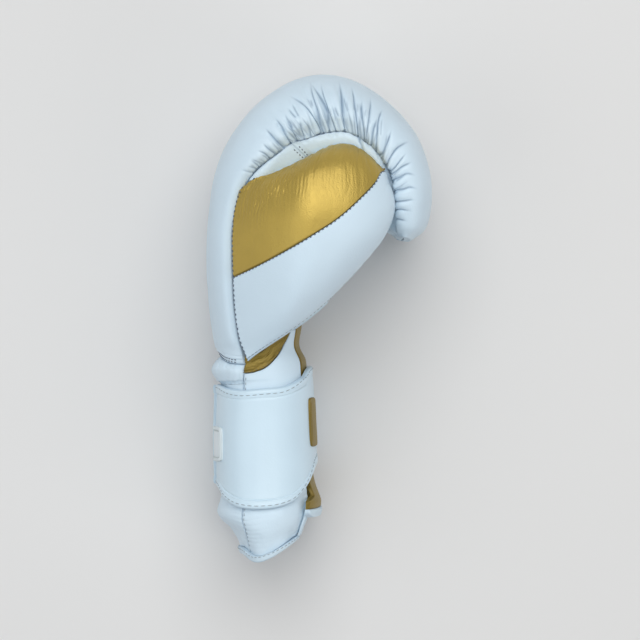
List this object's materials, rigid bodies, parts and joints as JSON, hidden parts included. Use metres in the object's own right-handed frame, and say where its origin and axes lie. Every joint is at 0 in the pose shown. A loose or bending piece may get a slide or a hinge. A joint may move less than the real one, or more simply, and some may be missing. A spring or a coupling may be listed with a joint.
{
  "type": "boxing glove",
  "caption": "Left boxing glove of white and gold leather with a padded fist, gathered seams, a thumb, and a cuff closed by a wide wrist strap.",
  "frame": {"origin": "under the middle of the glove's box, on the surface that its little-finger side lies on", "axes": "+X from the back of the hand to the palm, +Y from the cuff mouth to the knuckles, +Z from the little-finger side up to the thumb"},
  "size_m": [0.141, 0.3032, 0.154],
  "materials": {
    "white_leather": "satin",
    "inner_leather": "satin",
    "gold_leather": "metallic satin",
    "strap_leather": "semi-gloss",
    "binding": "satin",
    "label": "matte"
  },
  "bodies": {
    "root": {"fist_pad": "white_leather", "index_side_panel": "white_leather", "palm_panel": "inner_leather", "finger_panel": "inner_leather", "wrist_roll": "white_leather", "cuff_back_panel": "white_leather", "cuff_side_panel": "white_leather", "gold_gusset": "gold_leather", "palm_flap": "gold_leather", "flap_binding": "binding", "mouth_binding": "binding", "cuff_edge_binding": "binding", "wrist_strap": "strap_leather", "strap_label": "label", "strap_patch": "gold_leather", "thumb_gold_panel": "gold_leather", "thumb_white_panel": "white_leather", "thumb_hem": "binding", "thumb_inner_panel": "inner_leather"}
  },
  "joints": []
}
